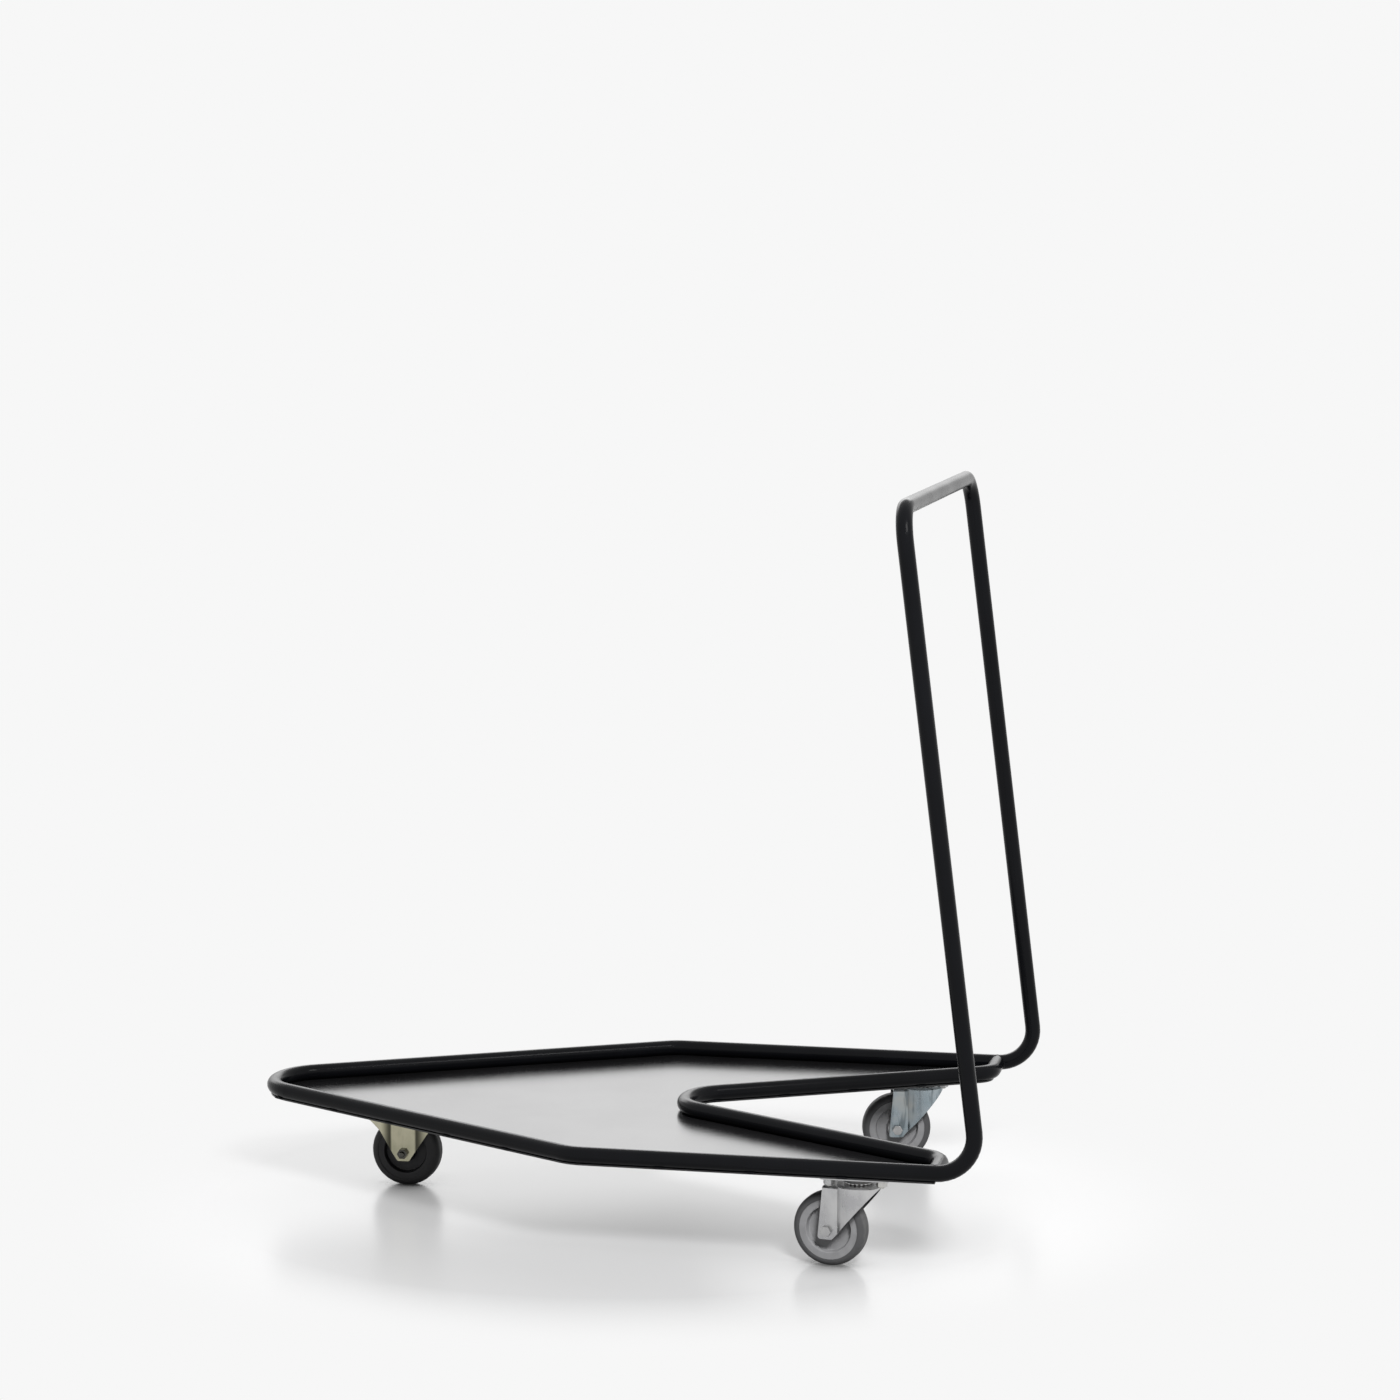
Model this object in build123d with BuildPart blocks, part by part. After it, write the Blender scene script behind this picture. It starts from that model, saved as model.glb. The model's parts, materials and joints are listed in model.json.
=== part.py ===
from build123d import *
from dataclasses import dataclass
from math import pi, radians, sin, sqrt, tan
import os

# Table trolley: an arrow-shaped tray inside a rim of bent tube, on a fixed castor under the nose and
# two swivel castors at the rear, with a leaning hoop handle bent from the same tube.
# Millimetres. X runs across, the nose points to -Y, Z is up from the floor, and the origin lies on the
# floor below the middle of the outline. Left and right are those of a person at the handle.

# Frame tubes, with every bend radius to the tube's centre line
TUBE_OD = 22.0
TUBE_WALL = 2.0
RAIL_SPACING = 658.0
RAIL_LENGTH = 544.0
NOSE_HALF_ANGLE = 29.0
NOSE_RADIUS = 72.0
SHOULDER_RADIUS = 60.0
NOTCH_HALF_ANGLE = 29.0
NOTCH_RADIUS = 63.0
CROSS_LENGTH = 70.0
CROSS_SETBACK = 58.0
CROSS_RADIUS = 33.0
COPE_GAP = 0.1

# Handle
HANDLE_HEIGHT = 1005.0
HANDLE_LEAN = 7.1
LEG_RADIUS = 50.0
BAR_RADIUS = 45.0

# Sleeves inside the rails, where the rim tube meets the handle hoop
JOINT_SETBACK = 130.0
SLEEVE_LENGTH = 80.0
SLEEVE_WALL = 2.0
SLEEVE_FIT = 0.05

# Tray sheet under the tubes
TRAY_THICKNESS = 2.0
TRAY_MARGIN = 5.5
TRAY_REAR_LIP = 1.0

# Castor places: swivel pivots ahead of the legs, fixed castor behind the nose corner
CASTOR_SETBACK = 164.0
FRONT_CASTOR_SETBACK = 271.0
LEFT_SWIVEL = -9.0
RIGHT_SWIVEL = 13.5
TRAIL = 38.0

# Castor top plates and their fixings
PLATE_LENGTH = 92.0
PLATE_WIDTH = 82.0
PLATE_THICKNESS = 3.0
PLATE_CORNER = 6.0
STUD_INSET_LONG = 11.0
STUD_INSET_WIDE = 12.0
STUD_DIAMETER = 8.0
STUD_HOLE_FIT = 0.5
STUD_PROUD = 2.5
WASHER_DIAMETER = 16.0
WASHER_THICKNESS = 1.6
NUT_ACROSS = 13.0
NUT_HEIGHT = 6.5
THREAD_FIT = 0.05
TIP_CHAMFER = 1.0

# Swivel heads: a dish pressed down out of the plate runs on balls over the fork's round crown
HEAD_RADIUS = 31.0
HEAD_RISE = 3.5
HEAD_MARGIN = 1.0
DISH_RADIUS = 20.0
DISH_DEPTH = 9.5
DISH_SLANT = 6.0
BALL_DIAMETER = 5.0
BALL_SPACING = 0.7
RACE_DEPTH = 1.0
RACE_FIT = 0.3
UPPER_RACE_INSET = 3.5
LOWER_RACE_STEP = 5.0
RACE_CUP_MARGIN = 4.5
KING_PIN_DIAMETER = 12.0
KING_PIN_PLAY = 0.5
KING_PIN_FLARE = 3.0
KING_PIN_FLANGE = 4.0
KING_PIN_FLANGE_HEIGHT = 2.5
KING_PIN_FLANGE_ROUND = 2.0

# Forks, pressed from sheet
FORK_SHEET = 2.5
FORK_BEND = 1.5
FORK_ROOM = 4.5
CROWN_GAP = 7.5
FORK_FRONT_TOP = 5.5
FORK_FRONT_FOOT = 12.5
FORK_FOOT_DROP = 11.5
FORK_FOOT_REAR = 7.5
FORK_FOOT_ROUND = 4.0

# Fixed fork: a raised panel between two flat margins, with edges that flare out to the plate's ends
FIXED_PLATE_LENGTH = 116.0
FIXED_PLATE_LIP = 1.0
FIXED_SKIRT = 25.0
FIXED_FLARE_HALF = 35.5
FIXED_FLARE_DROP = 46.5
FIXED_FLARE_ROUND = 20.0
FIXED_FOOT_HALF = 8.5
FIXED_PANEL_HALF = 15.5
FIXED_PANEL_RISE = 6.0
FIXED_FLANK_RUN = 22.0
FIXED_MARGIN_ROOM = 1.2
CREASE_ROUND = 3.0

# Wheels
WHEEL_DIAMETER = 100.0
TYRE_WIDTH = 28.0
TYRE_DEPTH = 9.5
TYRE_SIDEWALL = 0.5
RIM_INSET = 1.0
RIM_WALL = 9.5
WEB_THICKNESS = 9.0
CORE_DRAFT = 1.5
CORE_ROUND = 1.5
HUB_DIAMETER = 27.0
BUSH_WALL = 2.0
BUSH_LENGTH = 12.0
BUSH_FLANGE = 1.0
BUSH_FLANGE_STEP = 3.0
SIDE_PLAY = 0.3
RUNNING_FIT = 0.06

# Axles
AXLE_DIAMETER = 8.0
AXLE_FIT = 0.05
AXLE_SLEEVE_WALL = 1.95
AXLE_HEAD_ACROSS = 13.0
AXLE_HEAD_HEIGHT = 5.3
AXLE_NUT_HEIGHT = 6.5
AXLE_PROUD = 2.5

# Radii and widths that follow from these
tube_radius = TUBE_OD / 2
wheel_radius = WHEEL_DIAMETER / 2
rim_radius = wheel_radius - TYRE_DEPTH
axle_radius = AXLE_DIAMETER / 2
axle_bore = axle_radius + AXLE_FIT
axle_sleeve_radius = axle_bore + AXLE_SLEEVE_WALL
bush_bore = axle_sleeve_radius + RUNNING_FIT
bush_radius = bush_bore + BUSH_WALL
pin_radius = KING_PIN_DIAMETER / 2
upper_race_radius = DISH_RADIUS - UPPER_RACE_INSET
lower_race_radius = pin_radius + LOWER_RACE_STEP
race_groove = BALL_DIAMETER / 2 + RACE_FIT
swivel_half_gap = TYRE_WIDTH / 2 + FORK_ROOM
fixed_half_gap = TYRE_WIDTH / 2 + FIXED_MARGIN_ROOM + FIXED_PANEL_RISE
fixed_top_half = FIXED_PLATE_LENGTH / 2 - FIXED_PLATE_LIP
stud_spacing_wide = PLATE_WIDTH - 2 * STUD_INSET_WIDE

# Heights, from the floor up
axle_z = wheel_radius
fork_foot_z = axle_z - FORK_FOOT_DROP
race_gap = BALL_DIAMETER - 2 * RACE_DEPTH
leg_top = WHEEL_DIAMETER + CROWN_GAP + FORK_SHEET
crown_top = leg_top + HEAD_RISE
crown_bottom = crown_top - FORK_SHEET
cup_top = crown_bottom - race_gap
cup_bottom = cup_top - FORK_SHEET
dish_bottom = crown_top + race_gap
dish_floor = dish_bottom + PLATE_THICKNESS
plate_bottom = dish_bottom + DISH_DEPTH
plate_top = plate_bottom + PLATE_THICKNESS
tray_top = plate_top + TRAY_THICKNESS
rim_z = tray_top + tube_radius

# Corners of the tube centre lines, centred from the nose to the back of the leg bends
nose_slope = radians(NOSE_HALF_ANGLE)
notch_slope = radians(NOTCH_HALF_ANGLE)
lean = radians(HANDLE_LEAN)
rail_x = RAIL_SPACING / 2
nose_run = rail_x / tan(nose_slope)
nose_tip = NOSE_RADIUS * (1 / sin(nose_slope) - 1) - tube_radius
leg_back = LEG_RADIUS - LEG_RADIUS * tan((pi / 2 + lean) / 2) + tube_radius
shoulder_y = (nose_run - nose_tip - RAIL_LENGTH - leg_back) / 2
nose_y = shoulder_y - nose_run
leg_y = shoulder_y + RAIL_LENGTH
bar_y = leg_y - (HANDLE_HEIGHT - rim_z) * tan(lean)
joint_y = leg_y - JOINT_SETBACK
cross_y = leg_y - CROSS_SETBACK
cross_x = rail_x - CROSS_LENGTH
notch_y = cross_y - cross_x / tan(notch_slope)

RIM_PATH = [
    (-rail_x, joint_y, rim_z),
    (-rail_x, shoulder_y, rim_z),
    (0, nose_y, rim_z),
    (rail_x, shoulder_y, rim_z),
    (rail_x, joint_y, rim_z),
]
RIM_BENDS = [SHOULDER_RADIUS, NOSE_RADIUS, SHOULDER_RADIUS]
HANDLE_PATH = [
    (rail_x, joint_y, rim_z),
    (rail_x, leg_y, rim_z),
    (rail_x, bar_y, HANDLE_HEIGHT),
    (-rail_x, bar_y, HANDLE_HEIGHT),
    (-rail_x, leg_y, rim_z),
    (-rail_x, joint_y, rim_z),
]
HANDLE_BENDS = [LEG_RADIUS, BAR_RADIUS, BAR_RADIUS, LEG_RADIUS]
NOTCH_PATH = [
    (-rail_x, cross_y, rim_z),
    (-cross_x, cross_y, rim_z),
    (0, notch_y, rim_z),
    (cross_x, cross_y, rim_z),
    (rail_x, cross_y, rim_z),
]
NOTCH_BENDS = [CROSS_RADIUS, NOTCH_RADIUS, CROSS_RADIUS]


def save(piece, name):
    """Name a finished piece and write it."""
    piece.part.label = name
    export_step(piece.part, f"parts/{name}.step")


# Frame
def bent_tube(path, bends, outer_radius, wall=0.0):
    """Tube, or a rod where it has no wall, along straight runs joined by round bends."""
    with BuildPart() as tube:
        with BuildLine() as centre_line:
            FilletPolyline(*path, radius=bends)
        with BuildSketch(centre_line.line ^ 0):
            Circle(outer_radius)
            if wall:
                Circle(outer_radius - wall, mode=Mode.SUBTRACT)
        sweep(path=centre_line.line)
    return tube


def make_notch_tube():
    """V tube, with its ends coped to sit against the rails."""
    rails = bent_tube(HANDLE_PATH, HANDLE_BENDS, tube_radius + COPE_GAP)
    whole = bent_tube(NOTCH_PATH, NOTCH_BENDS, tube_radius, TUBE_WALL)
    with BuildPart() as tube:
        add(whole.part)
        add(rails.part, mode=Mode.SUBTRACT)
    return tube


def make_joint_sleeves():
    """Two short sleeves inside the rails, half in the rim tube and half in the handle hoop."""
    sleeve_radius = tube_radius - TUBE_WALL - SLEEVE_FIT
    with BuildPart() as sleeves:
        with BuildSketch(Plane.XZ.offset(-joint_y)):
            with Locations((-rail_x, rim_z), (rail_x, rim_z)):
                Circle(sleeve_radius)
                Circle(sleeve_radius - SLEEVE_WALL, mode=Mode.SUBTRACT)
        extrude(amount=SLEEVE_LENGTH / 2, both=True)
    return sleeves


def make_tray_plate():
    """Flat sheet under the tubes, a little past their centre lines."""
    edge_x = rail_x + TRAY_MARGIN
    nose_edge_y = nose_y - TRAY_MARGIN / sin(nose_slope)
    shoulder_edge_y = nose_edge_y + edge_x / tan(nose_slope)
    rear_y = cross_y + TRAY_REAR_LIP
    notch_edge_y = notch_y + TRAY_MARGIN / sin(notch_slope)
    rear_x = (rear_y - notch_edge_y) * tan(notch_slope)
    shoulder_round = SHOULDER_RADIUS + TRAY_MARGIN
    corners = [
        ((0, nose_edge_y), NOSE_RADIUS + TRAY_MARGIN),
        ((edge_x, shoulder_edge_y), shoulder_round),
        ((edge_x, rear_y), 0),
        ((rear_x, rear_y), CROSS_RADIUS),
        ((0, notch_edge_y), NOTCH_RADIUS - TRAY_MARGIN),
        ((-rear_x, rear_y), CROSS_RADIUS),
        ((-edge_x, rear_y), 0),
        ((-edge_x, shoulder_edge_y), shoulder_round),
    ]
    points, rounds = zip(*corners)
    with BuildPart() as tray:
        with BuildSketch(Plane.XY.offset(plate_top)):
            with BuildLine():
                FilletPolyline(*points, radius=rounds, close=True)
            make_face()
        extrude(amount=TRAY_THICKNESS)
    return tray


# Castors
@dataclass
class Castor:
    """A castor's place: its seat lies on the floor below the pivot, x along the trail, y along the axle."""

    seat: Plane
    trail: float
    half_gap: float

    @property
    def side_plane(self):
        """Upright plane through the pivot, with x along the trail and y up."""
        return Plane(origin=self.seat.origin, x_dir=self.seat.x_dir, z_dir=-self.seat.y_dir)

    @property
    def head_plane(self):
        """Upright plane through the pivot, with x along the axle and y up."""
        return Plane(origin=self.seat.origin, x_dir=self.seat.y_dir, z_dir=self.seat.x_dir)

    @property
    def pivot_axis(self):
        """Upright axis of the swivel."""
        return Axis(self.seat.origin, (0, 0, 1))

    @property
    def wheel_plane(self):
        """Plane along the axle, with x along the axle and y up from it."""
        return Plane(origin=self.axle_point(0), x_dir=self.seat.y_dir, z_dir=self.seat.x_dir)

    @property
    def axle_axis(self):
        """Axis that the wheel turns about."""
        return Axis(self.axle_point(0), self.seat.y_dir)

    @property
    def half_width(self):
        """Half the width over both legs."""
        return self.half_gap + FORK_SHEET

    @property
    def hub_half_width(self):
        """Half the hub's length, which leaves room for the bush flanges and some play."""
        return self.half_gap - SIDE_PLAY - BUSH_FLANGE

    def axle_point(self, across):
        """Point on the axle, at a distance across from the wheel's middle."""
        return self.seat.from_local_coords((self.trail, across, axle_z))

    def axle_plane(self, across, facing):
        """Plane square to the axle at a distance across, facing along the axle or against it."""
        return Plane(origin=self.axle_point(across), x_dir=self.seat.x_dir, z_dir=self.seat.y_dir * facing)


def castor_seat(x, y, swivel):
    """Plane on the floor below a castor's pivot, turned by its swivel angle."""
    return Plane(origin=(x, y, 0), x_dir=Vector(0, -1, 0).rotate(Axis.Z, swivel), z_dir=(0, 0, 1))


pivot_x = rail_x - PLATE_WIDTH / 2
pivot_y = leg_y - CASTOR_SETBACK
left_seat = castor_seat(pivot_x, pivot_y, 0)
right_seat = castor_seat(-pivot_x, pivot_y, 0)
front_seat = castor_seat(0, nose_y + FRONT_CASTOR_SETBACK, 0)
LEFT = Castor(castor_seat(pivot_x, pivot_y, LEFT_SWIVEL), TRAIL, swivel_half_gap)
RIGHT = Castor(castor_seat(-pivot_x, pivot_y, RIGHT_SWIVEL), TRAIL, swivel_half_gap)
FRONT = Castor(front_seat, 0, fixed_half_gap)
PLATES = [(left_seat, PLATE_LENGTH), (right_seat, PLATE_LENGTH), (front_seat, FIXED_PLATE_LENGTH)]


# Fasteners
def hex_prism(plane, across, height):
    """Hexagon with the corners of both ends turned off at a slant."""
    flat = across / 2
    corner = across / sqrt(3)
    turned = (corner - flat) * tan(pi / 6)
    section = [(0, 0), (flat, 0), (corner, turned), (corner, height - turned), (flat, height), (0, height)]
    with BuildPart() as prism:
        with BuildSketch(Plane(origin=plane.origin, x_dir=plane.x_dir, z_dir=-plane.y_dir)):
            with BuildLine():
                Polyline(*section, close=True)
            make_face()
        revolve(axis=Axis(plane.origin, plane.z_dir))
        with BuildSketch(plane):
            RegularPolygon(flat, 6, major_radius=False)
        extrude(amount=height, mode=Mode.INTERSECT)
    return prism


def hex_nut(plane, across, height, bore):
    """Nut with a plain bore in place of its thread."""
    blank = hex_prism(plane, across, height)
    with BuildPart() as nut:
        add(blank.part)
        with BuildSketch(plane):
            Circle(bore)
        extrude(amount=height, mode=Mode.SUBTRACT)
    return nut


def stud_planes(height):
    """Planes that face down at every castor stud, at one height."""
    planes = []
    for seat, length in PLATES:
        reach = length / 2 - STUD_INSET_LONG
        for along in (-reach, reach):
            for across in (-stud_spacing_wide / 2, stud_spacing_wide / 2):
                point = seat.from_local_coords((along, across, height))
                planes.append(Plane(origin=point, x_dir=seat.x_dir, z_dir=(0, 0, -1)))
    return planes


def make_castor_studs():
    """Studs welded under the tray, one for each hole of the castor plates."""
    with BuildPart() as studs:
        for plane in stud_planes(plate_top):
            with BuildSketch(plane):
                Circle(STUD_DIAMETER / 2)
        extrude(amount=PLATE_THICKNESS + WASHER_THICKNESS + NUT_HEIGHT + STUD_PROUD)
        chamfer(studs.edges().group_by(Axis.Z)[0], TIP_CHAMFER)
    return studs


def make_castor_washers():
    """Washers between the castor plates and the nuts."""
    with BuildPart() as washers:
        for plane in stud_planes(plate_bottom):
            with BuildSketch(plane):
                Circle(WASHER_DIAMETER / 2)
                Circle(STUD_DIAMETER / 2 + STUD_HOLE_FIT, mode=Mode.SUBTRACT)
        extrude(amount=WASHER_THICKNESS)
    return washers


def make_castor_nuts():
    """Nuts on the studs."""
    blanks = []
    for plane in stud_planes(plate_bottom - WASHER_THICKNESS):
        blanks.append(hex_nut(plane, NUT_ACROSS, NUT_HEIGHT, STUD_DIAMETER / 2 + THREAD_FIT))
    with BuildPart() as nuts:
        for nut in blanks:
            add(nut.part)
    return nuts


# Castor plates and swivel heads
def make_flat_plate(seat, length):
    """Plate with four stud holes."""
    with BuildPart() as plate:
        with BuildSketch(seat.offset(plate_bottom)):
            RectangleRounded(length, PLATE_WIDTH, PLATE_CORNER)
            with GridLocations(length - 2 * STUD_INSET_LONG, stud_spacing_wide, 2, 2):
                Circle(STUD_DIAMETER / 2 + STUD_HOLE_FIT, mode=Mode.SUBTRACT)
        extrude(amount=PLATE_THICKNESS)
    return plate


def make_dished_plate(seat, castor):
    """Plate with a dish pressed down out of it, which has the upper race below and the king pin's seat."""
    flat_plate = make_flat_plate(seat, PLATE_LENGTH)
    slant = DISH_SLANT / DISH_DEPTH
    wall = PLATE_THICKNESS * sqrt(1 + slant**2)
    outer_rim = DISH_RADIUS + DISH_SLANT
    dish = [(0, dish_bottom), (DISH_RADIUS, dish_bottom), (outer_rim, plate_bottom), (0, plate_bottom)]
    floor_radius = DISH_RADIUS + PLATE_THICKNESS * slant - wall
    mouth_radius = outer_rim + PLATE_THICKNESS * slant - wall
    hollow = [(0, dish_floor), (floor_radius, dish_floor), (mouth_radius, plate_top), (0, plate_top)]
    pin_seat = [
        (0, dish_bottom),
        (pin_radius, dish_bottom),
        (pin_radius + KING_PIN_FLARE, dish_floor),
        (0, dish_floor),
    ]
    with BuildPart() as plate:
        add(flat_plate.part)
        with BuildSketch(castor.head_plane):
            with BuildLine():
                Polyline(*dish, close=True)
            make_face()
        revolve(axis=castor.pivot_axis)
        with BuildSketch(castor.head_plane):
            for outline in (hollow, pin_seat):
                with BuildLine():
                    Polyline(*outline, close=True)
                make_face()
            with Locations((upper_race_radius, dish_bottom - race_gap / 2)):
                Circle(race_groove)
        revolve(axis=castor.pivot_axis, mode=Mode.SUBTRACT)
    return plate


def make_king_pin(castor):
    """Rivet through the dish's floor, with a flange that holds up the lower race cup."""
    flange_radius = pin_radius + KING_PIN_FLANGE
    flange_bottom = cup_bottom - KING_PIN_FLANGE_HEIGHT
    section = [
        (0, flange_bottom),
        (flange_radius, flange_bottom),
        (flange_radius, cup_bottom),
        (pin_radius, cup_bottom),
        (pin_radius, dish_bottom),
        (pin_radius + KING_PIN_FLARE, dish_floor),
        (0, dish_floor),
    ]
    with BuildPart() as pin:
        with BuildSketch(castor.head_plane):
            with BuildLine():
                FilletPolyline(*section, radius=[0, KING_PIN_FLANGE_ROUND, 0, 0, 0, 0, 0], close=True)
            make_face()
        revolve(axis=castor.pivot_axis)
    return pin


def make_race_cup(castor):
    """Lower race, held on the king pin below the fork's crown."""
    cup_radius = lower_race_radius + RACE_CUP_MARGIN
    section = [
        (pin_radius, cup_bottom),
        (cup_radius, cup_bottom),
        (cup_radius, cup_top),
        (pin_radius, cup_top),
    ]
    with BuildPart() as cup:
        with BuildSketch(castor.head_plane):
            with BuildLine():
                Polyline(*section, close=True)
            make_face()
            with Locations((lower_race_radius, cup_top + race_gap / 2 + RACE_FIT)):
                Circle(race_groove, mode=Mode.SUBTRACT)
        revolve(axis=castor.pivot_axis)
    return cup


def make_ball_row(seat, race_radius, race_z):
    """Ring of loose balls that sit in the race below them."""
    count = int(2 * pi * race_radius / (BALL_DIAMETER + BALL_SPACING))
    with BuildPart(seat.offset(race_z + race_gap / 2)) as balls:
        with PolarLocations(race_radius, count):
            Sphere(BALL_DIAMETER / 2)
    return balls


# Forks
def plan_block(seat, plan, inset, height, bend):
    """Upright block over a plan drawn in by an inset, with rounded top edges."""
    with BuildPart() as block:
        with BuildSketch(seat):
            add(plan.sketch)
            if inset:
                offset(amount=-inset, kind=Kind.INTERSECTION)
        extrude(amount=height)
        fillet(block.edges().group_by(Axis.Z)[-1], bend)
    return block


def pressed_fork(castor, humps, profile):
    """Sheet bent over the wheel: a shell over humps (plan, top), trimmed to the side profile and drilled."""
    outsides = [plan_block(castor.seat, plan, 0, top, FORK_BEND + FORK_SHEET) for plan, top in humps]
    insides = [plan_block(castor.seat, plan, FORK_SHEET, top - FORK_SHEET, FORK_BEND) for plan, top in humps]
    points, rounds = zip(*profile)
    with BuildPart() as fork:
        for block in outsides:
            add(block.part)
        for block in insides:
            add(block.part, mode=Mode.SUBTRACT)
        with BuildSketch(castor.side_plane):
            with BuildLine():
                FilletPolyline(*points, radius=rounds, close=True)
            make_face()
            with Locations((castor.trail, axle_z)):
                Circle(axle_bore, mode=Mode.SUBTRACT)
        extrude(amount=PLATE_WIDTH, both=True, mode=Mode.INTERSECT)
    return fork


def make_swivel_fork(castor):
    """Fork that trails behind its pivot, with flat legs ahead of a round crown."""
    front = castor.trail + FORK_FRONT_FOOT
    rear = -HEAD_RADIUS - HEAD_MARGIN
    leg_run = front + 2 * (FORK_BEND + FORK_SHEET)
    with BuildSketch() as head_plan:
        Circle(HEAD_RADIUS)
    with BuildSketch() as leg_plan:
        with Locations((leg_run / 2, 0)):
            Rectangle(leg_run, 2 * castor.half_width)
    profile = [
        ((castor.trail + FORK_FRONT_TOP, crown_top), 0),
        ((front, fork_foot_z), FORK_FOOT_ROUND),
        ((castor.trail - FORK_FOOT_REAR, fork_foot_z), FORK_FOOT_ROUND),
        ((rear, crown_bottom), 0),
        ((rear, crown_top), 0),
    ]
    blank = pressed_fork(castor, [(head_plan, crown_top), (leg_plan, leg_top)], profile)
    pin_bore = pin_radius + KING_PIN_PLAY
    bore = [(0, crown_bottom), (pin_bore, crown_bottom), (pin_bore, crown_top), (0, crown_top)]
    with BuildPart() as fork:
        add(blank.part)
        with BuildSketch(castor.head_plane):
            with BuildLine():
                Polyline(*bore, close=True)
            make_face()
            with Locations((upper_race_radius, crown_top + race_gap / 2 + RACE_FIT)):
                Circle(race_groove)
            with Locations((lower_race_radius, crown_bottom - race_gap / 2)):
                Circle(race_groove)
        revolve(axis=castor.pivot_axis, mode=Mode.SUBTRACT)
    return fork


def make_fixed_fork(castor):
    """Fork welded under its plate, with a raised panel down the middle of each leg."""
    margin_half_width = castor.half_width - FIXED_PANEL_RISE
    end = fixed_top_half + 2 * (FORK_BEND + FORK_SHEET)
    flank_end = FIXED_PANEL_HALF + FIXED_FLANK_RUN
    left_side = [
        ((end, margin_half_width), 0),
        ((flank_end, margin_half_width), CREASE_ROUND),
        ((FIXED_PANEL_HALF, castor.half_width), CREASE_ROUND),
        ((-FIXED_PANEL_HALF, castor.half_width), CREASE_ROUND),
        ((-flank_end, margin_half_width), CREASE_ROUND),
        ((-end, margin_half_width), 0),
    ]
    right_side = [((along, -across), rounding) for (along, across), rounding in left_side[::-1]]
    points, rounds = zip(*left_side, *right_side)
    with BuildSketch() as plan:
        with BuildLine():
            FilletPolyline(*points, radius=rounds, close=True)
        make_face()
    front_edge = [
        ((fixed_top_half, plate_bottom), 0),
        ((fixed_top_half, plate_bottom - FIXED_SKIRT), FORK_FOOT_ROUND),
        ((FIXED_FLARE_HALF, plate_bottom - FIXED_FLARE_DROP), FIXED_FLARE_ROUND),
        ((FIXED_FOOT_HALF, fork_foot_z), FORK_FOOT_ROUND),
    ]
    rear_edge = [((-along, height), rounding) for (along, height), rounding in front_edge[::-1]]
    return pressed_fork(castor, [(plan, plate_bottom)], front_edge + rear_edge)


# Wheels and axles
def wheel_piece(castor, corners):
    """Solid of revolution about the axle, from corners (across, radius) with their rounds."""
    points, rounds = zip(*corners)
    with BuildPart() as piece:
        with BuildSketch(castor.wheel_plane):
            with BuildLine():
                FilletPolyline(*points, radius=rounds, close=True)
            make_face()
        revolve(axis=castor.axle_axis)
    return piece


def make_tyre(castor):
    """Solid tyre, rounded at both shoulders down to a low sidewall."""
    half = TYRE_WIDTH / 2
    shoulder = TYRE_DEPTH - TYRE_SIDEWALL
    corners = [
        ((-half, rim_radius), 0),
        ((half, rim_radius), 0),
        ((half, wheel_radius), shoulder),
        ((-half, wheel_radius), shoulder),
    ]
    return wheel_piece(castor, corners)


def make_wheel_core(castor):
    """Moulded core: a rim and a hub joined by a web, with a recess on each side."""
    hub_radius = HUB_DIAMETER / 2
    rim_half = TYRE_WIDTH / 2 - RIM_INSET
    web_half = WEB_THICKNESS / 2
    recess_radius = rim_radius - RIM_WALL
    right_side = [
        ((castor.hub_half_width, bush_radius), 0),
        ((castor.hub_half_width, hub_radius), CORE_ROUND),
        ((web_half, hub_radius + CORE_DRAFT), CORE_ROUND),
        ((web_half, recess_radius - CORE_DRAFT), CORE_ROUND),
        ((rim_half, recess_radius), CORE_ROUND),
        ((rim_half, rim_radius), 0),
    ]
    left_side = [((-across, radius), rounding) for (across, radius), rounding in right_side[::-1]]
    return wheel_piece(castor, right_side + left_side)


def make_wheel_bushes(castor):
    """Pair of flanged bushes, pressed into the hub from both ends."""
    hub_end = castor.hub_half_width
    flange_end = hub_end + BUSH_FLANGE
    inner_end = hub_end - BUSH_LENGTH
    flange_radius = bush_radius + BUSH_FLANGE_STEP
    section = [
        (inner_end, bush_bore),
        (flange_end, bush_bore),
        (flange_end, flange_radius),
        (hub_end, flange_radius),
        (hub_end, bush_radius),
        (inner_end, bush_radius),
    ]
    with BuildPart() as bushes:
        with BuildSketch(castor.wheel_plane):
            for side in (-1, 1):
                with BuildLine():
                    Polyline(*[(side * across, radius) for across, radius in section], close=True)
                make_face()
        revolve(axis=castor.axle_axis)
    return bushes


def make_axle_sleeve(castor):
    """Spacer clamped between the fork's legs, on which the bushes turn."""
    with BuildPart() as sleeve:
        with BuildSketch(castor.axle_plane(0, 1)):
            Circle(axle_sleeve_radius)
            Circle(axle_bore, mode=Mode.SUBTRACT)
        extrude(amount=castor.half_gap, both=True)
    return sleeve


def make_axle_bolt(castor, head_side):
    """Bolt through the fork and the sleeve, with its head on one side."""
    head_across = head_side * castor.half_width
    head = hex_prism(castor.axle_plane(head_across, head_side), AXLE_HEAD_ACROSS, AXLE_HEAD_HEIGHT)
    with BuildPart() as bolt:
        with BuildSketch(castor.axle_plane(head_across, -head_side)):
            Circle(axle_radius)
        extrude(amount=2 * castor.half_width + AXLE_NUT_HEIGHT + AXLE_PROUD)
        tip = bolt.edges().filter_by(GeomType.CIRCLE).sort_by_distance(castor.axle_point(head_across))[-1]
        chamfer(tip, TIP_CHAMFER)
        add(head.part)
    return bolt


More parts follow.
